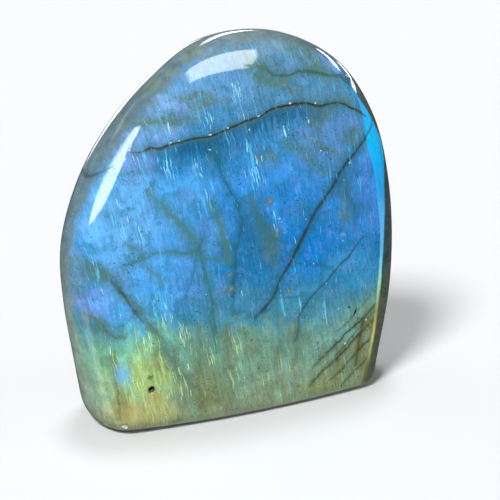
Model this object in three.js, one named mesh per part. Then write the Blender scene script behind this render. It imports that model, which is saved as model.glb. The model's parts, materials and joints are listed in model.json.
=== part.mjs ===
// A polished labradorite freeform: one piece of feldspar, ground by hand to a rounded arch that
// stands on a sawn flat foot. It has a domed top, a soft shoulder down its left side, a crisp
// ground bevel down its right side and a back that is rounder than its front.
// Millimetres, +Z up, front face towards -Y, origin at the centre of the foot on the ground plane.

import * as THREE from 'three';
import { mergeVertices } from 'three/addons/utils/BufferGeometryUtils.js';

// Driving dimensions
const STONE_HEIGHT = 93; // foot to crown
const HEART_HEIGHT = 42; // middle of the widest part, where the rays to the surface start
const HALF_AT_FOOT = 16; // half the thickness at the foot
const HALF_AT_MIDDLE = 14.5; // half the thickness at mid height
const HALF_AT_CROWN = 9; // half the thickness that the faces lean in to at the crown
const FRONT_DOME = 270; // radius of the front face across its width
const BACK_DOME = 150; // radius of the back face across its width
const LEFT_RIM_CROWN = 34; // radius of the edge surface through the thickness, left side
const RIGHT_RIM_CROWN = 14; // the same on the right side, which is rounder
const LEFT_SHOULDER = 8; // reach of the soft rounding from the front face to the left edge
const RIGHT_SHOULDER = 2.5; // reach of the much tighter rounding on the right
const BACK_SHOULDER = 14; // reach of the rounding round the back
const BEVEL_ANGLE = THREE.MathUtils.degToRad(50); // turn of the right bevel from the front face
const BEVEL_DEPTH = 1; // how far the bevel cuts in below the meeting of face and edge
const BEVEL_EASING = 2; // reach of the thin polished line where the bevel meets the face
const BEVEL_MIDDLE = THREE.MathUtils.degToRad(15); // direction in which the bevel is widest
const LEFT_FOOT_EASING = 5; // reach of the rounding round the foot, left end
const RIGHT_FOOT_EASING = 4; // the same at the right end
const FOOT_EASING_SPAN = 34; // the foot's rounding changes from left to right over this width

// The outline seen from the front, as [x, z], anticlockwise from the right end of the foot.
// Its last three points lie below the foot, where the sides run on before they are sawn off.
const OUTLINE = [
  [38.5, 2.5],
  [42.5, 19.5],
  [43.5, 36],
  [42, 52.5],
  [37.5, 69],
  [27.5, 83.5],
  [11, 92],
  [-6.5, 91.5],
  [-19.5, 83],
  [-29.5, 73],
  [-37.5, 60.5],
  [-42.5, 45],
  [-42, 30],
  [-40, 17],
  [-37.5, 2.5],
  [-32, -22],
  [0.5, -30],
  [33.5, -20],
];

// Facets: divisions of the box that is blown out on to the surface
const DIVISIONS_ACROSS = 32;
const DIVISIONS_DEEP = 12;
const DIVISIONS_HIGH = 36;
const BOX_HALF = new THREE.Vector3(36, 15, 46);
const EDGE_GATHER = 0.55; // how strongly the divisions crowd towards the box's edges

const heart = new THREE.Vector3(0, 0, HEART_HEIGHT);

// A smooth step from 0 to 1 as value goes from start to end
function ease(value, start, end) {
  return THREE.MathUtils.smoothstep(value, start, end);
}

// The larger of two distances, with the corner between their surfaces rounded over a reach
function roundedMax(first, second, reach) {
  const overlap = Math.max(1 - Math.abs(first - second) / reach, 0);
  return Math.max(first, second) + (overlap * overlap * reach) / 4;
}

// The outline's radius from the heart in each direction, read from one closed smooth curve
function outlineRadius() {
  const corners = OUTLINE.map(([x, z]) => new THREE.Vector3(x, 0, z));
  const curve = new THREE.CatmullRomCurve3(corners, true, 'centripetal');
  const steps = 1440;
  const samples = curve.getPoints(steps).slice(0, steps).map((point) => {
    const rise = point.z - HEART_HEIGHT;
    return { angle: Math.atan2(rise, point.x), radius: Math.hypot(rise, point.x) };
  });
  samples.sort((one, other) => one.angle - other.angle);
  const first = samples[0];
  const last = samples[samples.length - 1];
  samples.push({ angle: first.angle + 2 * Math.PI, radius: first.radius });
  samples.unshift({ angle: last.angle - 2 * Math.PI, radius: last.radius });

  return (angle) => {
    let low = 0;
    let high = samples.length - 1;
    while (high - low > 1) {
      const middle = (low + high) >> 1;
      if (samples[middle].angle <= angle) low = middle;
      else high = middle;
    }
    const share = (angle - samples[low].angle) / (samples[high].angle - samples[low].angle);
    return THREE.MathUtils.lerp(samples[low].radius, samples[high].radius, share);
  };
}

const radiusAt = outlineRadius();

// Half the thickness at a height: full at the foot, leaning in towards the crown
function halfThickness(z) {
  const rise = z / STONE_HEIGHT;
  const lower = THREE.MathUtils.clamp(rise / 0.5, -0.5, 1);
  const upper = THREE.MathUtils.clamp((rise - 0.5) / 0.5, 0, 1.5);
  const body = HALF_AT_FOOT + (HALF_AT_MIDDLE - HALF_AT_FOOT) * lower;
  return body - (HALF_AT_MIDDLE - HALF_AT_CROWN) * upper * upper;
}

// Less than zero inside the stone and more than zero outside it
function stoneField(point) {
  const { x, y, z } = point;
  const rise = z - HEART_HEIGHT;
  const angle = Math.atan2(rise, x);
  const rightness = ease(Math.cos(angle - BEVEL_MIDDLE), -0.1, 0.75);

  const rimCrown = THREE.MathUtils.lerp(LEFT_RIM_CROWN, RIGHT_RIM_CROWN, rightness);
  const rim = Math.hypot(x, rise) - radiusAt(angle) + (y * y) / (2 * rimCrown);
  const half = halfThickness(z);
  const front = -y - half + (x * x) / (2 * FRONT_DOME);
  const back = y - half + (x * x) / (2 * BACK_DOME);
  const bevel = front * Math.cos(BEVEL_ANGLE) + rim * Math.sin(BEVEL_ANGLE) + BEVEL_DEPTH;

  const shoulder = THREE.MathUtils.lerp(LEFT_SHOULDER, RIGHT_SHOULDER, rightness);
  let field = roundedMax(rim, front, shoulder);
  field = THREE.MathUtils.lerp(field, roundedMax(field, bevel, BEVEL_EASING), rightness);
  field = roundedMax(field, back, BACK_SHOULDER);

  const acrossFoot = ease(x, -FOOT_EASING_SPAN, 0);
  const footEasing = THREE.MathUtils.lerp(LEFT_FOOT_EASING, RIGHT_FOOT_EASING, acrossFoot);
  return roundedMax(field, -z, footEasing);
}

// The point where a ray from the heart leaves the stone, found by halving the stretch it is on
function surfacePoint(direction) {
  const point = new THREE.Vector3();
  let inside = 1;
  let outside = STONE_HEIGHT;
  for (let round = 0; round < 48; round += 1) {
    const distance = (inside + outside) / 2;
    point.copy(direction).multiplyScalar(distance).add(heart);
    if (stoneField(point) < 0) inside = distance;
    else outside = distance;
  }
  if (Math.abs(point.z) < 1e-6) point.z = 0;
  return point;
}

// A box with no poles, each of its points pushed out along its ray until it meets the surface
function stoneGeometry() {
  const box = new THREE.BoxGeometry(2, 2, 2, DIVISIONS_ACROSS, DIVISIONS_DEEP, DIVISIONS_HIGH);
  box.deleteAttribute('normal');
  box.deleteAttribute('uv');
  const geometry = mergeVertices(box, 1e-5);
  const gather = (value) => {
    const widest = Math.sin((Math.PI / 2) * EDGE_GATHER);
    return Math.sin((value * Math.PI * EDGE_GATHER) / 2) / widest;
  };
  const positions = geometry.attributes.position;
  const ray = new THREE.Vector3();
  for (let index = 0; index < positions.count; index += 1) {
    ray.fromBufferAttribute(positions, index);
    ray.set(gather(ray.x), gather(ray.y), gather(ray.z)).multiply(BOX_HALF).normalize();
    const point = surfacePoint(ray);
    positions.setXYZ(index, point.x, point.y, point.z);
  }

  // the outline is drawn by hand, so the last fraction of a millimetre is centred here
  geometry.computeBoundingBox();
  const middle = geometry.boundingBox.getCenter(new THREE.Vector3());
  geometry.translate(-middle.x, -middle.y, 0);
  return geometry;
}

function polishedStone() {
  const finish = new THREE.MeshStandardMaterial({
    color: 0x4d7896,
    roughness: 0.12,
    metalness: 0,
  });
  const stone = new THREE.Mesh(stoneGeometry(), finish);
  stone.name = 'stone';
  return stone;
}

const freeform = new THREE.Group();
freeform.add(polishedStone());

export default freeform;
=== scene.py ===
import json
import math

import bpy
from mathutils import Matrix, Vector

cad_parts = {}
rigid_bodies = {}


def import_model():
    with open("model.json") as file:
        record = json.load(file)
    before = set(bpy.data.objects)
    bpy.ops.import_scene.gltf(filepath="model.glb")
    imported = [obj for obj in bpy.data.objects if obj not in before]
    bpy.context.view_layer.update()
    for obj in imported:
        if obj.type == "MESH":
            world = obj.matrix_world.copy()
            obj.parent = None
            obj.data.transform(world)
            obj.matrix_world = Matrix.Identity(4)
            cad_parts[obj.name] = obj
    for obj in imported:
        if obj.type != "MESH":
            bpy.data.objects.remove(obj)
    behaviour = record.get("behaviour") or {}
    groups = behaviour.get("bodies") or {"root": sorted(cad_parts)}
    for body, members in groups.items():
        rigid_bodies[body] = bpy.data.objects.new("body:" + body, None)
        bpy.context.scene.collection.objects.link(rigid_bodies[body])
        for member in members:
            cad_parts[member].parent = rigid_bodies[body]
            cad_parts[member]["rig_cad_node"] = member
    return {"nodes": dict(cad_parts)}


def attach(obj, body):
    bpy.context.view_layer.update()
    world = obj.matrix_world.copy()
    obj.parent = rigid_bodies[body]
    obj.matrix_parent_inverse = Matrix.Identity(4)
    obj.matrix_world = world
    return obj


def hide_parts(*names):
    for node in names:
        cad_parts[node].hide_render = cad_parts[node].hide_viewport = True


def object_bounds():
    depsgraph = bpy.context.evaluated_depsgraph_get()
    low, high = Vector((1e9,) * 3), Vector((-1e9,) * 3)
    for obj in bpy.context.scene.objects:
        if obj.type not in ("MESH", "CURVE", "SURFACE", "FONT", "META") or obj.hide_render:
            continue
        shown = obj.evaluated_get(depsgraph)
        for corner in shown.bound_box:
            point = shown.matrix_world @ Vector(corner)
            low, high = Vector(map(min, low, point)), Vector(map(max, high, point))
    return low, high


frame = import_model()
cad_lowest, cad_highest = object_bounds()

# The camera
# The stone is seen from a little to its left and from above, through a long lens, so that its
# upright edges stay nearly parallel.
camera_turn = math.radians(-24)
camera_rise = math.radians(22)
camera_distance = 0.450
aim = Vector((0.0061, 0, 0.0366))


def direction_from(turn, rise):
    """The way towards a point that is turned round from the front and raised above the floor."""
    return Vector((
        math.sin(turn) * math.cos(rise),
        -math.cos(turn) * math.cos(rise),
        math.sin(rise),
    ))


towards_camera = direction_from(camera_turn, camera_rise)
bpy.ops.object.select_all(action="DESELECT")
bpy.ops.object.camera_add(
    location=aim + towards_camera * camera_distance,
    rotation=towards_camera.to_track_quat("Z", "Y").to_euler(),
)
camera = bpy.context.object
camera.name = "camera"
camera.data.lens = 133
camera.data.clip_start = 0.01
camera.data.clip_end = 20
bpy.context.scene.camera = camera

# The stone's body
# One piece of labradorite, sawn flat underneath, then ground and polished all over by hand to a
# rounded arch. Two cracks are open at its front face, and a pit and a few chips are left in it.
mm_in_metre = 1000
bpy.ops.object.select_all(action="DESELECT")
solid = frame["nodes"]["stone"]
solid.select_set(True)
bpy.context.view_layer.objects.active = solid
bpy.ops.object.duplicate()
stone = bpy.context.object
stone.name = "polished_stone"
stone.parent = None
del stone["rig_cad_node"]
stone.data.materials.clear()

bpy.ops.object.mode_set(mode="EDIT")
bpy.ops.mesh.select_all(action="SELECT")
bpy.ops.mesh.remove_doubles(threshold=1e-6)
bpy.ops.mesh.tris_convert_to_quads()
bpy.ops.object.mode_set(mode="OBJECT")


def round_off():
    """Rounds the facets off to the even curves of a polished stone, one step finer."""
    rounding = stone.modifiers.new("rounding", "SUBSURF")
    rounding.levels = 1
    rounding.render_levels = 1
    bpy.ops.object.modifier_apply(modifier=rounding.name)


# Points (x, z) along the two open cracks on the front face, in millimetres
main_crack = [
    (-28, 69.5), (-26, 69.6), (-24.6, 70.1), (-23.2, 70.5), (-21.9, 70.2), (-20.3, 70.6), (-18.7, 71),
    (-16.8, 71.2), (-14.4, 71.5), (-11.9, 71.7), (-10.5, 71.6), (-8.8, 71.8), (-7, 72.3), (-5.1, 72.8),
    (-3, 73.4), (-0.7, 74.1), (1.2, 74.4), (3.1, 74.7), (5.2, 75.7), (7.3, 76.2), (9.6, 76.3),
    (12.2, 76.4), (14.8, 76.2), (16.9, 75.6), (18.7, 75), (20.6, 75.1), (22.8, 75.2), (24.7, 74.7),
    (26.9, 73.4), (29.2, 72.2), (31.4, 70.5), (32.5, 69.3),
]
long_crack = [
    (34.5, 68.3), (33.1, 67.2), (31.1, 65.6), (29.3, 63.9), (27, 61.8), (25.3, 60.2), (23.6, 58.1),
    (22, 55.7), (20, 53.5), (18, 51), (16, 48.5), (15, 46.5), (13.5, 44), (12, 41.5), (10.5, 38.8),
    (9, 36.5), (7.5, 34.5), (6.5, 32), (5.5, 30.2), (3.5, 28), (1.5, 26.5), (0, 25.3),
]
groove_half_width = 0.45
groove_depth = 0.06

# The pit, a shallow one above it, chips at the foot's left end, and ore that lies a little
# below the polish: middle (x, z), radius and depth in millimetres
hollows = [
    ((-25.6, 11.6), 0.95, 0.8),
    ((-26, 14.7), 0.7, 0.2),
    ((-35.4, 1.9), 0.8, 0.25),
    ((-32.3, 2.8), 0.9, 0.3),
    ((27.6, 22), 0.5, 0.12),
]
front_ends = -5  # y beyond which a place is no longer on the front face
finer_reach = 1.6  # how far the finer mesh goes beyond a hollow


def distance_to_line(point, line):
    """How far a point (x, z) is from a line through points."""
    nearest = math.inf
    for start, end in zip(line, line[1:]):
        along = Vector(end) - Vector(start)
        share = min(max((point - Vector(start)).dot(along) / along.length_squared, 0), 1)
        nearest = min(nearest, (Vector(start) + along * share - point).length)
    return nearest


def hollow_depth(place_on_stone):
    """How deep the front face is hollowed at a place in metres, in millimetres. A groove is deepest
    along its middle, and a hollow has a flat floor out to half its radius."""
    x, y, z = place_on_stone * mm_in_metre
    if y > front_ends:
        return 0
    deepest = 0
    for line in (main_crack, long_crack):
        heights = [point[1] for point in line]
        if min(heights) - groove_half_width < z < max(heights) + groove_half_width:
            share = max(1 - distance_to_line(Vector((x, z)), line) / groove_half_width, 0)
            deepest = max(deepest, groove_depth * share)
    for middle, radius, depth in hollows:
        share = (Vector((x, z)) - Vector(middle)).length / radius
        if share < 1:
            deepest = max(deepest, depth * min(2 - 2 * share, 1))
    return deepest


def near_a_hollow(place_on_stone):
    """Whether the mesh needs finer faces at a place on the front, in metres."""
    x, y, z = place_on_stone * mm_in_metre
    if y > front_ends:
        return False
    for middle, radius, depth in hollows:
        if (Vector((x, z)) - Vector(middle)).length < radius + finer_reach:
            return True
    to_cracks = [distance_to_line(Vector((x, z)), line) for line in (main_crack, long_crack)]
    return min(to_cracks) < finer_reach


round_off()
bpy.ops.object.mode_set(mode="EDIT")
bpy.ops.mesh.select_mode(type="FACE")
bpy.ops.mesh.select_all(action="DESELECT")
bpy.ops.object.mode_set(mode="OBJECT")
for face in stone.data.polygons:
    face.select = near_a_hollow(face.center)
bpy.ops.object.mode_set(mode="EDIT")
bpy.ops.mesh.subdivide(number_cuts=2)
bpy.ops.object.mode_set(mode="OBJECT")
round_off()

# The rounding draws the surface in by about a sixth of a millimetre, so it is let out again
# until it all but fills the solid's size.
fullness = 0.9992
cad_size = cad_highest - cad_lowest
let_out = [fullness * size / drawn_in for size, drawn_in in zip(cad_size, stone.dimensions)]
bpy.ops.object.mode_set(mode="EDIT")
bpy.ops.mesh.select_all(action="SELECT")
bpy.ops.transform.resize(value=let_out, center_override=(0, 0, 0))
bpy.ops.object.mode_set(mode="OBJECT")

full_depth = 1  # millimetres at a vertex weight of 1
hollowed = stone.vertex_groups.new(name="hollowed")
for vertex in stone.data.vertices:
    depth_here = hollow_depth(vertex.co)
    if depth_here > 0:
        hollowed.add([vertex.index], depth_here / full_depth, "REPLACE")
hollowing = stone.modifiers.new("hollowing", "DISPLACE")
hollowing.vertex_group = hollowed.name
hollowing.mid_level = 0
hollowing.strength = -full_depth / mm_in_metre
bpy.ops.object.modifier_apply(modifier=hollowing.name)
stone.vertex_groups.clear()
bpy.ops.object.shade_smooth()

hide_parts("stone")
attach(stone, "root")

# The stone's material
# Polished labradorite: grey feldspar full of thin parallel layers that throw back a blue flash,
# which turns green and gold low down. Healed cracks cross it as dark and olive lines.
labradorite = bpy.data.materials.new("polished labradorite")
labradorite.use_nodes = True
tree = labradorite.node_tree
tree.nodes.clear()
stone.data.materials.append(labradorite)


def add_node(kind, inputs=None, output=0, **settings):
    """Adds a node to the current tree with its settings, and its inputs as values or links, and
    gives one of its outputs."""
    made = tree.nodes.new("ShaderNode" + kind)
    for name, value in settings.items():
        setattr(made, name, value)
    for socket, value in (inputs or {}).items():
        if isinstance(value, bpy.types.NodeSocket):
            tree.links.new(value, made.inputs[socket])
        else:
            made.inputs[socket].default_value = value
    return made.outputs[output] if made.outputs else None


def colour(code):
    """A colour given as an sRGB hex code, in the linear values that Blender works in."""
    shares = [int(code[place:place + 2], 16) / 255 for place in (1, 3, 5)]
    linear = [s / 12.92 if s <= 0.04045 else ((s + 0.055) / 1.055) ** 2.4 for s in shares]
    return (*linear, 1)


# Sockets given by number below: a Math node's values are 0 and 1; a Map Range node reads the
# range 1 to 2 and gives the range 3 to 4; a colour Mix node lays 7 over 6 and gives output 2.
smooth = {"interpolation_type": "SMOOTHSTEP"}
mixing = {"output": 2, "data_type": "RGBA"}

# Places on the stone in millimetres. Behind the front face the patterns lean sideways with
# depth, as the layers and cracks do that run through the stone.
object_place = add_node("TexCoord", output="Object")
place = add_node("VectorMath", {0: object_place, 3: mm_in_metre}, operation="SCALE")
across = add_node("SeparateXYZ", {0: place}, "X")
inward = add_node("SeparateXYZ", {0: place}, "Y")
rise = add_node("SeparateXYZ", {0: place}, "Z")
face_depth = 7  # the patterns stay the same from the front face back to y = -7
behind_face = add_node("Math", {0: inward, 1: face_depth}, operation="ADD")
depth = add_node("Math", {0: behind_face, 1: 0}, operation="MAXIMUM")
leaning = add_node("CombineXYZ", {"X": across, "Y": depth, "Z": rise})
half_width = 43
height = 93
across_share = add_node("MapRange", {0: across, 1: -half_width, 2: half_width})
height_share = add_node("MapRange", {0: rise, 2: height})


def stirred(noise_place, scale, reach):
    """Places pushed about by a noise, by up to about half the reach, in millimetres."""
    stir = add_node("TexNoise", {
        "Vector": noise_place, "Scale": scale, "Detail": 3, "Roughness": 0.6,
    }, "Color")
    middle = add_node("VectorMath", {0: stir, 1: (0.5, 0.5, 0.5)}, operation="SUBTRACT")
    push = add_node("VectorMath", {0: middle, 3: reach}, operation="SCALE")
    return add_node("VectorMath", {0: leaning, 1: push}, operation="ADD")


drift = stirred(place, 0.16, 9)
wavering = stirred(place, 0.22, 1.6)
kinked = stirred(drift, 0.5, 1.3)
nudged = stirred(drift, 1, 0.4)

# Silky streaks: the edges of the layers, which run nearly upright
streak_tilt = math.radians(9.6)


def streaks(width, length, shift, detail):
    """A noise drawn out along the layers, with a streak's usual width and length in millimetres."""
    drawn_out = add_node("Mapping", {
        "Vector": wavering,
        "Location": (shift, shift, 0),
        "Rotation": (0, -streak_tilt, 0),
        "Scale": (width, width * 2.5, length),
    }, vector_type="TEXTURE")
    return add_node("TexNoise", {"Vector": drawn_out, "Scale": 1, "Detail": detail})


def curve_through(points, share):
    """The value of a smooth curve through points (share, value), all between 0 and 1."""
    followed = add_node("FloatCurve", {"Value": share})
    mapping = followed.node.mapping
    line = mapping.curves[0]
    line.points[0].location = points[0]
    line.points[1].location = points[-1]
    for point in points[1:-1]:
        line.points.new(*point)
    mapping.update()
    return followed


def colours_along(stops, share, span):
    """Colours that change along a share of a span, from stops (distance, colour)."""
    changing = add_node("ValToRGB", {0: share})
    ramp = changing.node.color_ramp.elements
    ramp[0].position = stops[0][0] / span
    ramp[0].color = colour(stops[0][1])
    ramp[1].position = stops[-1][0] / span
    ramp[1].color = colour(stops[-1][1])
    for distance, code in stops[1:-1]:
        ramp.new(distance / span).color = colour(code)
    return changing


# The edge between the blue flash above and the green and gold below. It hangs in points,
# because each streak changes colour at its own height.
highest_edge = 50
edge_heights = [(-43, 27), (-36, 25), (-30, 25.5), (-24, 27.5), (-18, 26), (-8, 25), (0, 24), (10, 22),
                (20, 21), (26, 22), (31, 25), (36, 28), (43, 28)]
edge_points = [((x + half_width) / (2 * half_width), z / highest_edge) for x, z in edge_heights]
edge_share = curve_through(edge_points, across_share)
silk = streaks(0.8, 7, 0, 3)
streak_drop = add_node("MapRange", {0: silk, 1: 0.3, 2: 0.7, 3: -4, 4: 4})
edge_height = add_node("Math", {0: edge_share, 1: -highest_edge, 2: streak_drop}, operation="MULTIPLY_ADD")
wavering_height = add_node("SeparateXYZ", {0: wavering}, "Z")
above_edge = add_node("Math", {0: wavering_height, 1: edge_height}, operation="ADD")
blue_mask = add_node("MapRange", {0: above_edge, 1: -3, 2: 3}, **smooth)

# Blue part, from the edge up to the crown, and green part, from the foot up to the edge
blue_colour = colours_along([
    (20, "#5c9aa0"), (27, "#4590aa"), (32, "#3389b8"), (39, "#2083c4"), (46, "#1f84d0"), (53, "#2b8cda"),
    (60, "#3c92d8"), (67, "#4493cc"), (74, "#3c8abc"), (81, "#5596c4"), (91, "#6a8c9e"),
], height_share, height)
green_colour = colours_along([
    (0, "#8c9a7a"), (6, "#8aa082"), (14, "#78a088"), (22, "#70a494"), (28, "#60a0a0"),
], height_share, height)

# Clouds of colour: middle (x, z), half width and half height in millimetres, turn in degrees,
# colour and strength
blue_clouds = [
    ((-30, 52), (14, 24), 15, "#68b8f8", 0.95),
    ((-38, 34), (4, 5), -20, "#7f9ef0", 0.8),
    ((-30, 33), (8, 8), -35, "#58b4f8", 0.85),
    ((-36.5, 42), (5, 3), -25, "#55808c", 0.8),
    ((-23, 40), (7, 13), -25, "#4eb0f8", 0.85),
    ((-16, 38), (6, 8), 0, "#54a4ee", 0.7),
    ((-11, 48), (6, 7), 0, "#56a2e0", 0.7),
    ((-17, 60), (8, 8), 0, "#50b0f8", 0.85),
    ((-27, 68), (6, 6), 0, "#6a94cc", 0.75),
    ((-22, 77), (14, 6), 20, "#7ba4d2", 0.85),
    # painted teal shade under the main crack
    ((-10, 67), (14, 5), 0, "#1c80bc", 0.8),
    ((2, 61), (10, 7), 20, "#359cf0", 0.7),
    ((8, 53), (7, 6), 0, "#2a98f2", 0.8),
    ((1, 44), (8, 12), 5, "#2274a8", 0.8),
    ((14, 42), (9, 9), 0, "#0a84da", 0.9),
    ((25, 46), (6, 10), 0, "#3189da", 0.8),
    ((24, 57), (8, 6), 0, "#3a7cba", 0.75),
    ((32, 50), (4, 14), 0, "#468cda", 0.8),
    ((20, 68), (11, 7), 0, "#5a90c4", 0.85),
    ((21, 76), (9, 5), 0, "#4b829e", 0.8),
    ((15, 81), (10, 4), 0, "#5492ba", 0.7),
    ((24, 82), (6, 4), 0, "#6a90a8", 0.7),
    ((-6, 83), (14, 5), 0, "#62a0d2", 0.7),
    ((-8, 31), (9, 6), 0, "#4a92b6", 0.7),
    ((28, 33), (9, 6), 0, "#3a9ad2", 0.7),
    ((-28, 27), (9, 4), 0, "#60c4e4", 0.8),
    ((-42, 40), (3.5, 9), 0, "#6c94a8", 0.8),
]
green_clouds = [
    ((-32, 20), (7, 5), 0, "#84dcb4", 0.85),
    ((-27, 25), (10, 4), 0, "#84d8b8", 0.8),
    ((-28, 14), (10, 9), 0, "#b0d080", 0.9),
    ((-28, 6), (10, 5), 0, "#b8b878", 0.85),
    ((-13, 9), (6, 9), 0, "#86966a", 0.7),
    ((-6, 14), (5, 8), 0, "#7aa890", 0.6),
    ((22, 18), (9, 7), 20, "#74aaa4", 0.8),
    ((10, 20), (5, 8), 0, "#6c8c7a", 0.7),
    ((26, 9), (9, 6), 20, "#7c8860", 0.8),
    ((33, 14), (5, 9), 0, "#848850", 0.85),
    ((20, 4), (9, 3), 0, "#8e9c66", 0.7),
]
patch_depth = 15
depth_share = add_node("Math", {0: depth, 1: patch_depth}, operation="DIVIDE")


def distance_from(where, middle, reach, turn):
    """How far a place is from the middle of a patch, where 1 is the patch's edge."""
    if turn == 0:
        shares = add_node("VectorMath", {
            0: where,
            1: (1 / reach[0], 1 / patch_depth, 1 / reach[1]),
            2: (-middle[0] / reach[0], 0, -middle[1] / reach[1]),
        }, operation="MULTIPLY_ADD")
        return add_node("VectorMath", {0: shares}, "Value", operation="LENGTH")
    turn = math.radians(turn)
    along = Vector((math.cos(turn), 0, math.sin(turn))) / reach[0]
    upward = Vector((-math.sin(turn), 0, math.cos(turn))) / reach[1]
    centre = Vector((middle[0], 0, middle[1]))
    shares = add_node("CombineXYZ", {
        "X": add_node("VectorMath", {0: where, 1: along}, "Value", operation="DOT_PRODUCT"),
        "Y": depth_share,
        "Z": add_node("VectorMath", {0: where, 1: upward}, "Value", operation="DOT_PRODUCT"),
    })
    centre_shares = (centre.dot(along), 0, centre.dot(upward))
    return add_node("VectorMath", {0: shares, 1: centre_shares}, "Value", operation="DISTANCE")


def clouded(below, clouds):
    """A colour with soft clouds laid over it, each fading out from its middle."""
    for middle, reach, turn, code, strength in clouds:
        away = distance_from(drift, middle, reach, turn)
        cloud = add_node("MapRange", {0: away, 1: 1.25, 2: 0.35, 4: strength}, **smooth)
        below = add_node("Mix", {0: cloud, 6: below, 7: colour(code)}, **mixing)
    return below


blue_colour = clouded(blue_colour, blue_clouds)
green_colour = clouded(green_colour, green_clouds)

# The blue is never one blue for long: it turns violet and teal within a few millimetres
tint = add_node("TexNoise", {"Vector": drift, "Scale": 0.3, "Detail": 2})
violet = add_node("MapRange", {0: tint, 1: 0.52, 2: 0.68, 4: 0.35}, **smooth)
blue_colour = add_node("Mix", {0: violet, 6: blue_colour, 7: colour("#7098e0")}, **mixing)
teal = add_node("MapRange", {0: tint, 1: 0.47, 2: 0.36, 4: 0.45}, **smooth)
blue_colour = add_node("Mix", {0: teal, 6: blue_colour, 7: colour("#2f86a8")}, **mixing)

# Olive smears among the blue, ragged at their edges: middle, half width and height, and turn
olive_smears = [
    ((-12, 80.5), (6, 1.6), -15),
    ((-21, 82.5), (5, 1.6), 40),
    ((-22, 76), (7, 1.2), -5),
    ((3, 86), (6, 2), -25),
    ((9, 82), (8, 2.2), -25),
    ((17, 86), (8, 2.4), -40),
    ((18, 72), (3, 3), 0),
    ((20, 65), (8, 1.6), -35),
    ((4, 65), (4, 2.2), -20),
    ((24, 74.5), (6, 1.4), 0),
    ((28, 66), (4, 2), -45),
    ((-38, 28), (4, 3), -30),
    ((5, 44), (2.5, 5), 10),
    ((25, 50), (2, 6), 0),
]
ragged = add_node("TexNoise", {"Vector": drift, "Scale": 0.6, "Detail": 4, "Roughness": 0.68})
smears = 0
for middle, reach, turn in olive_smears:
    away = distance_from(drift, middle, reach, turn)
    smear = add_node("MapRange", {0: away, 1: 1.4, 2: 0.4}, **smooth)
    smears = add_node("Math", {0: smears, 1: smear}, operation="MAXIMUM")
smear_gaps = add_node("MapRange", {0: ragged, 1: 0.36, 2: 0.58, 4: 0.8}, **smooth)
smears = add_node("Math", {0: smears, 1: smear_gaps}, operation="MULTIPLY")
blue_colour = add_node("Mix", {0: smears, 6: blue_colour, 7: colour("#587c68")}, **mixing)
smoke = add_node("TexNoise", {"Vector": drift, "Scale": 0.11, "Detail": 3})
smoky = add_node("MapRange", {0: smoke, 1: 0.52, 2: 0.68, 4: 0.45}, **smooth)
blue_colour = add_node("Mix", {0: smoky, 6: blue_colour, 7: colour("#4c86a0")}, **mixing)

# Upright olive and sea-green bands in the green
bands = streaks(2.6, 11, 31, 3)
for low, high, strength, code in ((0.52, 0.66, 0.4, "#747a4c"), (0.48, 0.34, 0.45, "#7cb8a4")):
    band = add_node("MapRange", {0: bands, 1: low, 2: high, 4: strength}, **smooth)
    green_colour = add_node("Mix", {0: band, 6: green_colour, 7: colour(code)}, **mixing)
body_colour = add_node("Mix", {0: blue_mask, 6: green_colour, 7: blue_colour}, **mixing)

# Brightness: patches a few millimetres wide, the silk, its finest fibres and a fine grain
mottle = add_node("TexNoise", {"Vector": drift, "Scale": 0.24, "Detail": 3})
fibres = streaks(0.34, 3, 77, 2)
grain = add_node("TexNoise", {"Vector": place, "Scale": 2.2, "Detail": 3, "Roughness": 0.7})
black = (0, 0, 0, 1)
for pattern, darkest, palest in (
    (mottle, 0.8, 1.14),
    (silk, 0.88, 1.1),
    (fibres, 0.82, 1.12),
    (grain, 0.84, 1.1),
):
    light = add_node("MapRange", {0: pattern, 1: 0.3, 2: 0.7, 3: darkest, 4: palest})
    body_colour = add_node("Mix", {0: light, 6: black, 7: body_colour}, clamp_factor=False, **mixing)

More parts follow.
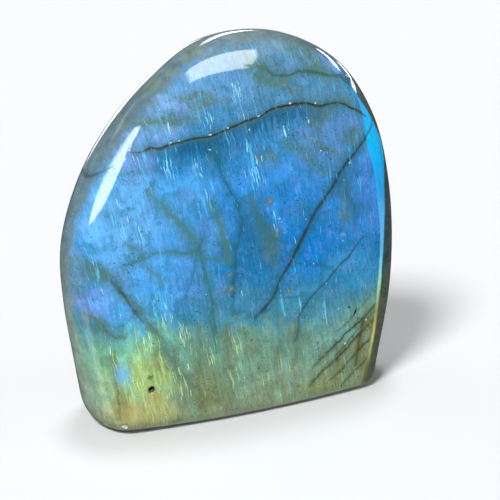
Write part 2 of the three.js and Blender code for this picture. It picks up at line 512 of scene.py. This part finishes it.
# Healed cracks deep in the stone: points (x, z) along each on the front face in millimetres, half
# width of the line, half width of its smoky margin, colour, and strength of line and margin
veins = [
    # veins that rise through the middle
    ([(-9, 69), (-8, 66), (-7, 62.5), (-6, 60), (-5, 58), (-3.7, 56), (-3, 53), (-2.5, 50), (-3, 47),
      (-4, 43), (-4.2, 40), (-4.8, 36), (-5, 32), (-5, 27)], 0.4, 1.8, "#1c6074", 0.85, 0.5),
    ([(-1, 57), (0.5, 53.5), (2.5, 49.5), (4.2, 45.5), (5.6, 41.5), (6.3, 38)],
     0.9, 2.8, "#3c7078", 0.7, 0.5),
    ([(6, 40), (6.3, 34), (6.3, 28), (6.5, 24), (7.3, 19), (7.8, 15)], 0.25, 1, "#3c7a80", 0.6, 0.35),
    ([(-25.5, 61.5), (-24, 59), (-22, 57.5), (-20, 55), (-18, 52.5), (-16, 50), (-14.5, 48), (-13.5, 46),
      (-12.8, 43.5)], 0.55, 2, "#4a7c74", 0.8, 0.6),
    ([(-13.5, 46), (-12.8, 43.5), (-12, 40), (-11, 36), (-10.3, 32), (-10, 28), (-9.7, 24), (-9.5, 18)],
     0.35, 1.4, "#37706c", 0.8, 0.5),
    ([(-10.5, 57), (-9.5, 54.5), (-8.5, 52), (-7.5, 49), (-6.8, 46), (-6, 43), (-5.5, 40)],
     0.4, 1.6, "#4f7a5e", 0.75, 0.5),
    ([(-11, 51), (-12.5, 47), (-14, 43.5), (-14.5, 40), (-16, 36), (-18.5, 31.5)],
     0.2, 1.2, "#336a90", 0.7, 0.4),
    ([(-33, 43.5), (-29, 44), (-25, 45), (-21, 45.7), (-18, 45), (-14, 44), (-12, 42.8), (-9, 42),
      (-5, 41.5)],
     0.4, 1.6, "#437884", 0.8, 0.5),
    ([(-31, 49.5), (-29, 47.5), (-27, 45.5), (-26, 43), (-24.5, 41), (-23, 39.5), (-22, 37)],
     0.3, 1.6, "#4c7e7c", 0.75, 0.5),
    ([(25, 58), (25.5, 53.5), (26.5, 51), (27.8, 48.5), (28, 46), (27, 42)], 0.35, 1.6, "#306a80", 0.75, 0.5),
    ([(8, 68.5), (10, 67), (14, 65), (16, 62.5), (17.5, 60.5), (19, 59.5), (21, 58.5)],
     0.5, 2, "#4c7a6c", 0.65, 0.5),
    ([(-19, 60), (-16, 57.5), (-13.5, 54), (-11.5, 50)], 0.2, 1.3, "#3f7ea4", 0.5, 0.4),
    ([(12, 60), (9, 57), (8, 53), (9, 49)], 0.2, 1.2, "#2872a4", 0.5, 0.4),
    # the lens at the left edge, with its dark lower line
    ([(-39.5, 44.2), (-38, 43.5), (-36.5, 42.3), (-35, 41), (-33, 38.5), (-31, 35.7), (-28, 32.3),
      (-25.7, 28), (-23.5, 25), (-22, 21.5), (-20.5, 18.5), (-18.5, 14.8), (-16.5, 12.2), (-15, 9)],
     0.75, 2.4, "#54786c", 0.85, 0.6),
    ([(-35, 40.5), (-32.5, 38), (-31, 35.5), (-30, 33.5), (-28.5, 31), (-27, 28.5)],
     0.25, 1, "#38586c", 0.8, 0.3),
    ([(-41, 31.5), (-38.5, 31), (-37, 30), (-36, 28), (-34.5, 26.5), (-33, 26), (-31, 25.6)],
     0.3, 1.4, "#566e58", 0.85, 0.5),
    # fine level lines
    ([(-32, 75.3), (-28, 75.8), (-24, 75.5), (-20, 76), (-15, 76.2), (-11, 75.8)],
     0.3, 1.4, "#4a7668", 0.7, 0.5),
    ([(5.5, 44.5), (8, 44), (11, 43.2)], 0.15, 0.6, "#2a6f98", 0.5, 0.3),
    ([(10, 38.5), (14, 37), (18, 36), (22, 34.5)], 0.2, 0.8, "#1f6a84", 0.7, 0.4),
    ([(0, 30), (5, 30), (10, 29.2), (14, 29)], 0.2, 0.9, "#347480", 0.7, 0.3),
    ([(25, 33.2), (28, 32.5), (33, 32)], 0.15, 0.8, "#3a7a90", 0.5, 0.3),
    ([(2, 84.5), (6, 82.3), (9, 81.5)], 0.25, 1.3, "#4a7a60", 0.7, 0.5),
    # upright olive lines in the green
    ([(-34.2, 23), (-34, 17), (-33.6, 11), (-33.3, 4)], 0.3, 1.4, "#6c6438", 0.85, 0.5),
    ([(-14, 27), (-13.6, 20), (-14, 12), (-13.6, 4)], 0.35, 1.6, "#5e6a40", 0.65, 0.5),
    ([(-6.2, 26), (-6.6, 19), (-6, 12), (-5, 4)], 0.4, 1.6, "#626c4a", 0.65, 0.5),
    ([(11, 24), (11.8, 17), (11.2, 11)], 0.3, 1.5, "#587460", 0.6, 0.45),
    # the sheaf of cracks that fans out from the right foot
    ([(35, 23.7), (33, 21.6), (31, 20), (27, 17.6), (24, 15.5), (21, 13.2), (19, 11.8), (16, 9)],
     0.2, 0.9, "#364630", 0.9, 0.45),
    ([(34.5, 21), (31, 18.4), (28, 16), (25, 13.4), (22, 11)], 0.1, 0.5, "#46543a", 0.8, 0.4),
    ([(34.5, 18.3), (32.5, 17.6), (30, 16), (28, 14.6), (25, 12.2), (22.4, 10.2), (20, 8.7), (17.5, 7),
      (15, 4.5)],
     0.25, 1, "#384226", 0.9, 0.5),
    ([(33, 14), (30, 12), (26.7, 9.4), (23.3, 6.6), (20, 5.5)], 0.14, 0.6, "#444c32", 0.85, 0.4),
    ([(33, 9.5), (31, 8), (29, 6.5), (26, 4.5), (24, 2.5)], 0.2, 0.8, "#3e4a2c", 0.8, 0.45),
    ([(30.7, 20), (30, 17), (29.4, 14), (28.8, 11), (28.5, 7)], 0.25, 1, "#44442a", 0.8, 0.5),
    ([(33, 25.5), (29.5, 22.5), (26, 19.6), (22.5, 17.5)], 0.1, 0.5, "#4c6650", 0.7, 0.35),
]
fray_noise = add_node("TexNoise", {"Vector": place, "Scale": 0.7, "Detail": 4, "Roughness": 0.7})
swell_noise = add_node("TexNoise", {"Vector": place, "Scale": 0.16})
fade_noise = add_node("TexNoise", {"Vector": place, "Scale": 0.24})
fraying = add_node("MapRange", {0: fray_noise, 1: 0.3, 2: 0.7, 3: -0.45, 4: 0.45})
swelling = add_node("MapRange", {0: swell_noise, 1: 0.3, 2: 0.7, 3: 0.75, 4: 1.6})
fading = add_node("MapRange", {0: fade_noise, 1: 0.3, 2: 0.7, 3: 0.75, 4: 1.15})


def crack_sides(points, where):
    """Where a place is along a crack, from 0 to 1, and how far to its upper side in millimetres."""
    start, end = Vector(points[0]), Vector(points[-1])
    along = (end - start).normalized()
    sideways = Vector((-along.y, along.x))
    if sideways.y < 0:
        sideways = -sideways
    length = (end - start).length
    offsets = [(Vector(point) - start).dot(sideways) for point in points]
    lowest = min(offsets)
    reach = max(max(offsets) - lowest, 1)
    share_axis = Vector((along.x, 0, along.y)) / length
    side_axis = Vector((sideways.x, 0, sideways.y))
    from_start = add_node("VectorMath", {0: where, 1: share_axis}, "Value", operation="DOT_PRODUCT")
    share = add_node("Math", {0: from_start, 1: start.dot(along) / length}, operation="SUBTRACT")
    offset = add_node("VectorMath", {0: where, 1: side_axis}, "Value", operation="DOT_PRODUCT")
    line_points = [((Vector(point) - start).dot(along) / length, (offset_here - lowest) / reach)
                   for point, offset_here in zip(points, offsets)]
    line = curve_through(line_points, share)
    line_offset = add_node("Math", {
        0: line, 1: reach, 2: lowest + start.dot(sideways),
    }, operation="MULTIPLY_ADD")
    return share, add_node("Math", {0: offset, 1: line_offset}, operation="SUBTRACT")


def crack_masks(share, beyond, half_line, half_margin, line_strength, margin_strength):
    """Masks of a crack's line and its smoky margin. They fray, swell and fade out at both ends."""
    away = add_node("Math", {0: beyond}, operation="ABSOLUTE")
    swollen = add_node("Math", {0: away, 1: swelling}, operation="DIVIDE")
    ends = curve_through([(0, 0), (0.06, 0.85), (0.5, 1), (0.94, 0.85), (1, 0)], share)
    lasting = add_node("Math", {0: ends, 1: fading}, operation="MULTIPLY")
    masks = []
    for fray, low, high, strength in (
        (half_line + 0.15, half_line * 1.5 + 0.1, half_line * 0.4, line_strength),
        (half_margin * 0.8, half_margin * 1.3, 0, margin_strength),
    ):
        frayed = add_node("Math", {0: fraying, 1: fray, 2: swollen}, operation="MULTIPLY_ADD")
        mask = add_node("MapRange", {0: frayed, 1: low, 2: high, 4: strength}, **smooth)
        masks.append(add_node("Math", {0: mask, 1: lasting}, operation="MULTIPLY"))
    return masks


for points, half_line, half_margin, code, line_strength, margin_strength in veins:
    share, beyond = crack_sides(points, kinked)
    masks = crack_masks(share, beyond, half_line, half_margin, line_strength, margin_strength)
    vein = add_node("Math", {0: masks[0], 1: masks[1]}, operation="MAXIMUM")
    body_colour = add_node("Mix", {0: vein, 6: body_colour, 7: colour(code)}, **mixing)

# Cracks that reach the surface: points, half width of line and margin, colours of both, and
# strength of both. Under the first, right across below the crown, a teal shade is painted,
# fading downwards from the crack.
trace_of_main_crack = [(-37, 62.4), (-35, 64), (-33, 65.5), (-31.5, 66.5)]
hairline = [(30.5, 41), (28, 38.8), (26.5, 37), (23.5, 34.8), (20, 31.5), (17, 29.3), (15, 27.5), (13, 25),
            (12.3, 21), (11, 17)]
seam_under_crown = [(0, 86.3), (3, 86.2), (5.5, 85.3), (8, 83.5), (10, 83.2), (12.5, 83.4), (15, 83.5),
                    (18, 82.8), (20, 82.2), (22, 81.5), (25, 80.8), (29, 79.8)]
cracks = [
    (main_crack, 0.15, 1.1, "#10282a", "#46685a", 0.95, 0.7),
    (long_crack, 0.27, 1.7, "#173f4a", "#286070", 0.95, 0.65),
    (hairline, 0.1, 0.7, "#165264", "#2a6c7c", 0.9, 0.4),
    (seam_under_crown, 0.2, 1.6, "#284e48", "#44705e", 0.8, 0.6),
    (trace_of_main_crack, 0.12, 0.7, "#2c3a36", "#46564c", 0.6, 0.3),
]
open_crack = 0
for points, half_line, half_margin, line_code, margin_code, line_strength, margin_strength in cracks:
    share, beyond = crack_sides(points, nudged)
    if points is main_crack:
        # Painted shade: a teal shade hangs below the main crack and fades downwards in streaks
        hanging = add_node("Math", {0: silk, 1: 14, 2: beyond}, operation="MULTIPLY_ADD")
        shade = add_node("MapRange", {0: hanging, 1: 1.5, 2: 6, 4: 0.85}, **smooth)
        just_below = add_node("MapRange", {0: beyond, 1: 0.2, 2: -0.2}, **smooth)
        shade = add_node("Math", {0: shade, 1: just_below}, operation="MULTIPLY")
        stretch = curve_through([
            (0, 0), (0.12, 0.4), (0.3, 1), (0.42, 0.7), (0.5, 1), (0.68, 0.8), (0.8, 0.2), (1, 0),
        ], share)
        shade = add_node("Math", {0: shade, 1: stretch}, operation="MULTIPLY")
        body_colour = add_node("Mix", {0: shade, 6: body_colour, 7: colour("#14587e")}, **mixing)
    on_line, on_margin = crack_masks(share, beyond, half_line, half_margin, line_strength, margin_strength)
    body_colour = add_node("Mix", {0: on_margin, 6: body_colour, 7: colour(margin_code)}, **mixing)
    body_colour = add_node("Mix", {0: on_line, 6: body_colour, 7: colour(line_code)}, **mixing)
    open_crack = add_node("Math", {0: open_crack, 1: on_line}, operation="MAXIMUM")

# Bright streaks, where the edges of single layers catch the light. A few lie anywhere, and most
# are in groups: middle, half width and half height, and how much of the light they catch.
streak_groups = [
    ((-20.6, 77.6), (1.1, 3), 1),
    ((-19.4, 73.4), (1, 4), 1),
    ((-9.6, 75.8), (2.4, 5), 1),
    ((-26, 66), (3, 6), 0.8),
    ((-19.7, 65.6), (3, 5), 0.9),
    ((-13, 64.3), (3, 4), 0.9),
    ((-2.2, 80), (2.6, 8), 1),
    ((9.2, 70.1), (1.6, 4), 0.9),
    ((0.5, 63.5), (3.6, 9), 1),
    ((-31.5, 54), (3, 8), 1),
    ((-26.5, 51), (3, 5.5), 1),
    ((-36.8, 35.5), (2.4, 6), 0.8),
    ((-22.5, 31), (4, 8), 1),
    ((-10.5, 57.2), (1.8, 5), 0.8),
    ((6.3, 48.8), (1.3, 5), 1),
    ((8, 27.2), (0.9, 5), 1),
    ((19.3, 24.4), (1, 5), 1),
    ((12.4, 28.1), (0.9, 4), 0.9),
    ((-2.6, 32), (1, 4), 0.8),
    ((-34, 20.8), (1.4, 6), 1),
    ((-27, 23.7), (5, 5), 0.9),
    ((-28, 12), (6, 9), 0.75),
    ((-19, 12), (5, 9), 0.6),
    ((-18, 24.5), (2.5, 6), 1),
    ((-10.5, 18.1), (1.6, 6), 0.8),
    ((-4.3, 18), (2, 9), 0.85),
    ((3, 9), (3, 6), 0.45),
]
slant = math.tan(streak_tilt)
slanted_across = add_node("Math", {0: rise, 1: slant, 2: across}, operation="MULTIPLY_ADD")
upright_place = add_node("CombineXYZ", {"X": slanted_across, "Y": depth, "Z": rise})
caught_light = 0
for (x, z), reach, strength in streak_groups:
    away = distance_from(upright_place, (x + slant * z, z), reach, 0)
    caught = add_node("MapRange", {0: away, 1: 1.2, 2: 0.2, 4: strength}, **smooth)
    caught_light = add_node("Math", {0: caught_light, 1: caught}, operation="MAXIMUM")
streak_colour = add_node("Mix", {0: blue_mask, 6: colour("#c0e090"), 7: colour("#62d0fa")}, **mixing)
glint_colour = add_node("Mix", {0: blue_mask, 6: colour("#ecf8a8"), 7: colour("#b4f0ff")}, **mixing)
for width, length, shift, low, high, raised, strength, code in (
    (0.5, 9, 13, 0.68, 0.8, 0.12, 0.6, streak_colour),
    (0.34, 6, 57, 0.7, 0.8, 0.14, 0.75, streak_colour),
    (0.28, 4.5, 91, 0.76, 0.84, 0.17, 0.9, glint_colour),
):
    layer_edges = streaks(width, length, shift, 1)
    raised_edges = add_node("Math", {0: caught_light, 1: raised, 2: layer_edges}, operation="MULTIPLY_ADD")
    bright = add_node("MapRange", {0: raised_edges, 1: low, 2: high, 4: strength}, **smooth)
    body_colour = add_node("Mix", {0: bright, 6: body_colour, 7: code}, **mixing)

# Specks of dark ore, flattened along the level and thicker in some places than in others, and
# a few pale ones
speck_place = add_node("Mapping", {
    "Vector": place,
    "Rotation": (0, math.radians(12), 0),
    "Scale": (0.8, 0.8, 0.42),
}, vector_type="TEXTURE")
speck_colour = add_node("Mix", {0: blue_mask, 6: colour("#4c5638"), 7: colour("#124862")}, **mixing)
crowd_noise = add_node("TexNoise", {"Vector": place, "Scale": 0.1})
crowding = add_node("MapRange", {0: crowd_noise, 1: 0.3, 2: 0.7, 3: -0.08, 4: 0.06})
for scale, detail, low, high, strength in ((1, 1, 0.69, 0.76, 0.8), (1.9, 0, 0.74, 0.82, 0.6)):
    speck_noise = add_node("TexNoise", {"Vector": speck_place, "Scale": scale, "Detail": detail})
    crowded = add_node("Math", {0: speck_noise, 1: crowding}, operation="ADD")
    specks = add_node("MapRange", {0: crowded, 1: low, 2: high, 4: strength}, **smooth)
    body_colour = add_node("Mix", {0: specks, 6: body_colour, 7: speck_colour}, **mixing)
pale_noise = add_node("TexNoise", {"Vector": place, "Scale": 1.5, "Detail": 0})
pale_specks = add_node("MapRange", {0: pale_noise, 1: 0.86, 2: 0.9, 4: 0.7}, **smooth)
body_colour = add_node("Mix", {0: pale_specks, 6: body_colour, 7: colour("#d4f0fa")}, **mixing)

# Single marks: middle, half width and half height, turn, colour, strength, and how far out from
# the middle each starts to fade
marks = [
    # gold low on the left, amber beside the pit, and a blue patch above them
    ((-30.6, 6.5), (3.8, 3), 0, "#bcb470", 0.5, 0),
    ((-24.4, 9.2), (2.2, 2), 0, "#a89c50", 0.55, 0),
    ((-32.4, 16.4), (2.4, 4.2), 5, "#62bcf0", 0.8, 0),
    # the pit, its middle painted near black as shade in its hollow, and the shallow one above it
    ((-25.6, 11.6), (1.5, 1.2), 0, "#5e5f3c", 0.7, 0.3),
    ((-25.6, 11.6), (0.8, 0.75), 0, "#0c110d", 0.95, 0.75),
    ((-26, 14.7), (0.9, 0.7), 0, "#565e40", 0.7, 0.3),
    # black ore beside the sheaf of cracks
    ((26.4, 23.4), (0.4, 0.35), 0, "#18241f", 0.9, 0.5),
    ((28, 21.7), (0.28, 1.1), -35, "#0e1616", 0.95, 0.6),
    ((28.9, 19.8), (0.35, 0.5), 0, "#3a4232", 0.7, 0.4),
    # pale spots
    ((24.5, 42.5), (1, 0.8), 0, "#7fb0b0", 0.7, 0),
    ((25.2, 14), (0.3, 0.3), 0, "#dfe8da", 0.85, 0.4),
    ((31.3, 19), (0.25, 0.25), 0, "#dfe8da", 0.85, 0.4),
    # white chips along the open cracks and on the foot's left end
    ((-19, 71.4), (0.35, 0.2), 0, "#c4dcdc", 0.9, 0.4),
    ((-17, 71.6), (0.3, 0.18), 0, "#c4dcdc", 0.8, 0.4),
    ((-9.5, 72.1), (0.45, 0.22), 0, "#d8ecec", 0.85, 0.4),
    ((-5.1, 73.1), (0.3, 0.2), 0, "#d8ecec", 0.8, 0.4),
    ((-9.8, 68.7), (0.5, 0.2), -15, "#b4d8e8", 0.8, 0.4),
    ((0.2, 72.1), (0.22, 0.25), 0, "#cfe6ea", 0.85, 0.4),
    ((2.8, 74.9), (0.3, 0.2), 15, "#cfe6ea", 0.8, 0.4),
    ((10.9, 76.8), (0.35, 0.25), 0, "#e4f0f0", 0.9, 0.4),
    ((17.5, 75.9), (0.28, 0.2), 0, "#e4f0f0", 0.9, 0.4),
    ((15.5, 71.9), (0.18, 0.6), 10, "#cfe6fa", 0.85, 0.4),
    ((18.5, 64.5), (0.25, 0.2), 0, "#e4f0fa", 0.85, 0.4),
    ((26.3, 60.3), (0.22, 0.3), 0, "#cfe6ea", 0.85, 0.4),
    ((-35.4, 1.9), (0.5, 0.35), -20, "#e6eae0", 0.9, 0.4),
    ((-32.4, 2.6), (0.6, 0.35), 30, "#e6eae0", 0.9, 0.4),
    ((-31.8, 2.2), (0.3, 0.5), 0, "#e6eae0", 0.8, 0.4),
]
for middle, reach, turn, code, strength, solid_share in marks:
    away = distance_from(kinked if max(reach) > 0.7 else nudged, middle, reach, turn)
    mark = add_node("MapRange", {0: away, 1: 1.2, 2: solid_share, 4: strength}, **smooth)
    body_colour = add_node("Mix", {0: mark, 6: body_colour, 7: colour(code)}, **mixing)

# Ragged brown rings round old bubbles: middle, radius and strength
rings = [
    ((-5.6, 37.7), 0.9, 0.4),
    ((-5.4, 34.1), 1.1, 0.5),
    ((-4.5, 27.1), 0.8, 0.4),
    ((4.8, 54.4), 1.1, 0.6),
    ((6.6, 45.7), 0.8, 0.5),
    ((9.7, 30.9), 0.8, 0.6),
    ((-35.7, 19.7), 1.5, 0.5),
]
for middle, radius, strength in rings:
    away = distance_from(kinked, middle, (radius, radius), 0)
    frayed = add_node("Math", {0: fraying, 1: 0.6, 2: away}, operation="MULTIPLY_ADD")
    ring = add_node("MapRange", {0: frayed, 1: 1.5, 2: 0.7, 4: strength}, **smooth)
    body_colour = add_node("Mix", {0: ring, 6: body_colour, 7: colour("#566e54")}, **mixing)
    bubble = add_node("MapRange", {0: away, 1: 0.7, 2: 0.1, 4: strength}, **smooth)
    body_colour = add_node("Mix", {0: bubble, 6: body_colour, 7: colour("#8c9c78")}, **mixing)

# The bright strip where the right bevel turns the layers to the light, and what lies beyond it:
# heights and places across of its two edges in millimetres, and its colour at each height
strip_inner = [(1, 30), (5.7, 31), (8.7, 31.8), (12.6, 32.7), (16.4, 33.5), (20.3, 34), (24.1, 34.4),
               (28, 34.8), (31.8, 35.1), (34.3, 35.3), (39.5, 35.4), (44.7, 35), (50, 34.2),
               (55.2, 33.6), (57.8, 33.1), (60.4, 32.4), (63, 31.6), (65.5, 31.1), (70.3, 30.6),
               (72.6, 30.3), (76.3, 28.6), (80, 25.5), (83, 23), (86, 20), (92, 12)]
strip_outer = [(1, 31), (5.3, 31.8), (8.3, 32.6), (12.1, 33.5), (16, 34.3), (19.9, 34.8), (23.8, 35.3),
               (27.6, 35.8), (31.5, 36), (36.6, 36.5), (41.7, 36.7), (46.6, 37), (51.9, 36.9),
               (56.5, 37.3), (60, 37.6), (63.6, 37), (66.6, 35.2), (69.4, 33.7), (72.2, 32),
               (74.5, 30.4), (78, 28.8), (80.5, 29), (83, 27.5), (86, 24), (92, 15)]
strip_colour = colours_along([
    (4, "#6a6c40"), (7, "#7c7a48"), (10, "#b8ac60"), (13, "#e4d884"), (17, "#c4bc68"), (20, "#a8a860"),
    (24, "#a4c890"), (28, "#b4f8c8"), (31.5, "#7ce4fc"), (37, "#6cc0f4"), (45, "#5cc0ff"), (52, "#30b4ff"),
    (58, "#10b4ff"), (64, "#04c4ff"), (70, "#10bcff"), (76, "#3aa0e0"), (79, "#2f6f88"), (80.5, "#3a6f90"),
    (82, "#6aa4f0"), (86, "#6a90c4"), (89, "#687880"),
], height_share, height)
widest_across = 50


def past_line(heights, soft_before, soft_after):
    """A mask of what lies to the right of a line given as (height, x)."""
    x_share = curve_through([(z / height, x / widest_across) for z, x in heights], height_share)
    beyond = add_node("Math", {0: x_share, 1: -widest_across, 2: across}, operation="MULTIPLY_ADD")
    return add_node("MapRange", {0: beyond, 1: -soft_before, 2: soft_after}, **smooth)


past_inner = past_line(strip_inner, 0.15, 0.35)
past_outer = past_line(strip_outer, 0.25, 0.5)
for pattern, darkest, palest in ((grain, 0.88, 1.08), (streaks(1, 9, 140, 2), 0.78, 1.1)):
    light = add_node("MapRange", {0: pattern, 1: 0.3, 2: 0.7, 3: darkest, 4: palest})
    strip_colour = add_node("Mix", {0: light, 6: black, 7: strip_colour}, clamp_factor=False, **mixing)
crack_in_strip = add_node("Math", {0: open_crack, 1: 0.85}, operation="MULTIPLY")
strip_colour = add_node("Mix", {0: crack_in_strip, 6: strip_colour, 7: colour("#0b3446")}, **mixing)
body_colour = add_node("Mix", {0: past_inner, 6: body_colour, 7: strip_colour}, **mixing)

# Rims and back, where the layers lie edge on and the grey-green of the feldspar itself shows,
# with a little of the flash behind it. The rim starts further in near the crown, and the right
# rim is painted darker as shade.
facing = add_node("TexCoord", output="Normal")
facing_up = add_node("SeparateXYZ", {0: facing}, "Z")
level_facing = add_node("CombineXYZ", {
    "X": add_node("SeparateXYZ", {0: facing}, "X"),
    "Y": add_node("SeparateXYZ", {0: facing}, "Y"),
    "Z": add_node("Math", {0: facing_up, 1: 0}, operation="MAXIMUM"),
})
level_facing = add_node("VectorMath", {0: level_facing}, operation="NORMALIZE")
turned_back = add_node("SeparateXYZ", {0: level_facing}, "Y")
crown_rim = add_node("MapRange", {0: rise, 1: 45, 2: 75, 4: 0.18}, **smooth)
rim_noise = add_node("TexNoise", {"Vector": place, "Scale": 0.4, "Detail": 4, "Roughness": 0.6})
turned = add_node("Math", {0: turned_back, 1: crown_rim}, operation="ADD")
turned_ragged = add_node("Math", {0: rim_noise, 1: 0.5, 2: turned}, operation="MULTIPLY_ADD")
rim_mask = add_node("MapRange", {0: turned_ragged, 1: -0.32, 2: 0.12, 4: 0.88}, **smooth)
rim_mask = add_node("Math", {0: rim_mask, 1: past_outer}, operation="MAXIMUM")
rim_colour = colours_along([
    (0, "#8a9c88"), (22, "#90a698"), (36, "#74867e"), (55, "#56686a"), (80, "#586a6e"), (92, "#66787e"),
], height_share, height)
moss_noise = add_node("TexNoise", {"Vector": place, "Scale": 0.13, "Detail": 4, "Roughness": 0.6})
mossy = add_node("MapRange", {0: moss_noise, 1: 0.5, 2: 0.66, 4: 0.45}, **smooth)
rim_colour = add_node("Mix", {0: mossy, 6: rim_colour, 7: colour("#6c7a4c")}, **mixing)
# Painted shade: the right rim faces away from the key light and is painted darker, most at the front
right_painted_shade = add_node("MapRange", {0: across, 1: 10, 2: 30, 4: 0.85}, **smooth)
towards_back = add_node("MapRange", {0: turned_back, 1: -0.3, 2: 0.3, 3: 1, 4: 0.35}, **smooth)
right_painted_shade = add_node("Math", {0: right_painted_shade, 1: towards_back}, operation="MULTIPLY")
right_shade_colour = add_node("Mix", {0: blue_mask, 6: colour("#40482f"), 7: colour("#243e46")}, **mixing)
rim_colour = add_node("Mix", {0: right_painted_shade, 6: rim_colour, 7: right_shade_colour}, **mixing)
rim_light = add_node("MapRange", {0: rim_noise, 1: 0.3, 2: 0.7, 3: 0.66, 4: 1.3})
rim_colour = add_node("Mix", {0: rim_light, 6: black, 7: rim_colour}, clamp_factor=False, **mixing)
rim_flecks = add_node("MapRange", {0: streaks(0.4, 2.5, 120, 1), 1: 0.69, 2: 0.78, 4: 0.45}, **smooth)
rim_colour = add_node("Mix", {0: rim_flecks, 6: rim_colour, 7: colour("#a8b8a4")}, **mixing)
crack_in_rim = add_node("Math", {0: open_crack, 1: 0.7}, operation="MULTIPLY")
rim_colour = add_node("Mix", {0: crack_in_rim, 6: rim_colour, 7: colour("#24332e")}, **mixing)
final_colour = add_node("Mix", {0: rim_mask, 6: body_colour, 7: rim_colour}, **mixing)

# The rounded edge round the foot faces down towards the floor and is painted paler: painted
# bounce light from the floor.
foot_painted_light = add_node("MapRange", {0: rise, 1: 2.6, 2: 0.6, 4: 0.7}, **smooth)
final_colour = add_node("Mix", {0: foot_painted_light, 6: final_colour, 7: colour("#b4bca4")}, **mixing)

# The polish is glassy and slightly uneven from the hand, and open cracks are rough inside
unevenness = add_node("TexNoise", {"Vector": place, "Scale": 0.07, "Detail": 1})
polish_wave = 0.08 / mm_in_metre
polished = add_node("Bump", {"Strength": 1, "Distance": polish_wave, "Height": unevenness})
polish = add_node("MapRange", {0: mottle, 1: 0.3, 2: 0.7, 3: 0.05, 4: 0.08})
dullness = add_node("Math", {0: open_crack, 1: 0.35, 2: polish}, operation="MULTIPLY_ADD")
surface = add_node("BsdfPrincipled", {
    "Base Color": final_colour,
    "Roughness": dullness,
    "IOR": 1.56,
    "Normal": polished,
})
add_node("OutputMaterial", {"Surface": surface})

# The floor
# A plain sheet of matt white paper that runs past the view on every side and shows the stone's
# soft shadow. It isn't mirrored in the polish.
bpy.ops.object.select_all(action="DESELECT")
bpy.ops.mesh.primitive_plane_add(size=4, location=(0, 0, 0))
floor = bpy.context.object
floor.name = "floor"
paper = bpy.data.materials.new("matt white paper")
paper.use_nodes = True
tree = paper.node_tree
tree.nodes.clear()
floor.data.materials.append(paper)
sheet = add_node("BsdfDiffuse", {"Color": colour("#cfd0d1")})
add_node("OutputMaterial", {"Surface": sheet})
floor.visible_glossy = False

# The light
# A soft light from high on the left, weaker ones from overhead, from behind and low on the right,
# and bright windows round the stone that only show as reflections.
bpy.context.scene.view_settings.view_transform = "Standard"
studio = bpy.data.worlds.new("studio")
bpy.context.scene.world = studio
studio.use_nodes = True
tree = studio.node_tree
tree.nodes.clear()
walls = add_node("Background", {"Color": colour("#f4f6fa"), "Strength": 0.27})
sky = add_node("TexCoord", output="Generated")
sky_rise = add_node("SeparateXYZ", {0: sky}, "Z")
above_horizon = add_node("Math", {0: sky_rise, 1: 0.04}, operation="SUBTRACT")
off_horizon = add_node("Math", {0: above_horizon}, operation="ABSOLUTE")
horizon = add_node("MapRange", {0: off_horizon, 1: 0, 2: 0.16, 3: 0.4, 4: 0.1})
mirrored_walls = add_node("Background", {"Color": colour("#e8eef4"), "Strength": horizon})
seen_in_gloss = add_node("LightPath", output="Is Glossy Ray")
both = add_node("MixShader", {0: seen_in_gloss, 1: walls, 2: mirrored_walls})
add_node("OutputWorld", {"Surface": both})

# Name, (turn, rise) towards it, strength and width of each soft light, angles in degrees
soft_lights = [
    ("key_light", (-54, 53), 3.3, 15),
    ("side_light", (70, 8), 0.9, 20),
    ("top_light", (156, 79), 1.15, 12),
    ("back_light", (-130, 50), 0.25, 40),
]
for name, (turn, lift), strength, width in soft_lights:
    towards = direction_from(math.radians(turn), math.radians(lift))
    bpy.ops.object.light_add(
        type="SUN",
        location=towards,
        rotation=towards.to_track_quat("Z", "Y").to_euler(),
    )
    lamp = bpy.context.object
    lamp.name = name
    lamp.data.energy = strength
    lamp.data.angle = math.radians(width)
    lamp.visible_glossy = False

# Each window's brightness, the turns between which its left side fades in, and its corners in
# order round it as (turn, rise), all in degrees
no_fade = (-181, -180)
windows = [
    ("window_above", 9, no_fade, [(-26, 47), (22, 21), (42, 54), (-72, 63)]),
    ("window_left", 12, (-88, -72), [
        (-72, 4), (-64, 6), (-55, 8), (-50, 12), (-49, 18), (-50, 23), (-55, 31), (-63, 43), (-78, 43),
        (-86, 37), (-88, 31), (-85, 26), (-82, 20), (-79, 13), (-76, 7),
    ]),
    ("window_low_left", 1.7, (-102, -82), [(-102, -40), (-70, -38), (-70, -26), (-100, -26)]),
    ("window_behind_left", 1.2, no_fade, [(-148, 27), (-122, 27), (-122, 33), (-148, 33)]),
    ("window_behind", 9, no_fade, [(152, 18), (160, 18), (184, 48), (172, 48)]),
    ("window_behind_right", 9, no_fade, [(132, 14), (103, 19), (103, 23), (130, 18)]),
    ("window_low_right", 9, no_fade, [(135, 2), (100, 8), (100, 12), (135, 5)]),
    ("window_low_behind", 4, no_fade, [(165, -5), (188, -5), (188, 8), (165, 8)]),
]
for name, brightness, (fade_start, fade_end), corners in windows:
    bpy.ops.object.select_all(action="DESELECT")
    bpy.ops.mesh.primitive_circle_add(vertices=len(corners), radius=1, fill_type="NGON")
    window = bpy.context.object
    window.name = name
    for corner, (turn, lift) in zip(window.data.vertices, corners):
        corner.co = direction_from(math.radians(turn), math.radians(lift))
    window.location = aim
    glow = bpy.data.materials.new(name)
    glow.use_nodes = True
    tree = glow.node_tree
    tree.nodes.clear()
    window.data.materials.append(glow)
    corner_place = add_node("TexCoord", output="Object")
    leftward = add_node("SeparateXYZ", {0: corner_place}, "X")
    backward = add_node("SeparateXYZ", {0: corner_place}, "Y")
    frontward = add_node("Math", {0: backward, 1: -1}, operation="MULTIPLY")
    turn_here = add_node("Math", {0: leftward, 1: frontward}, operation="ARCTAN2")
    shine = add_node("MapRange", {
        0: turn_here, 1: math.radians(fade_start), 2: math.radians(fade_end), 4: brightness,
    }, **smooth)
    emission = add_node("Emission", {"Color": colour("#ffffff"), "Strength": shine})
    add_node("OutputMaterial", {"Surface": emission})
    window.visible_diffuse = False
    window.visible_camera = False
    window.visible_shadow = False
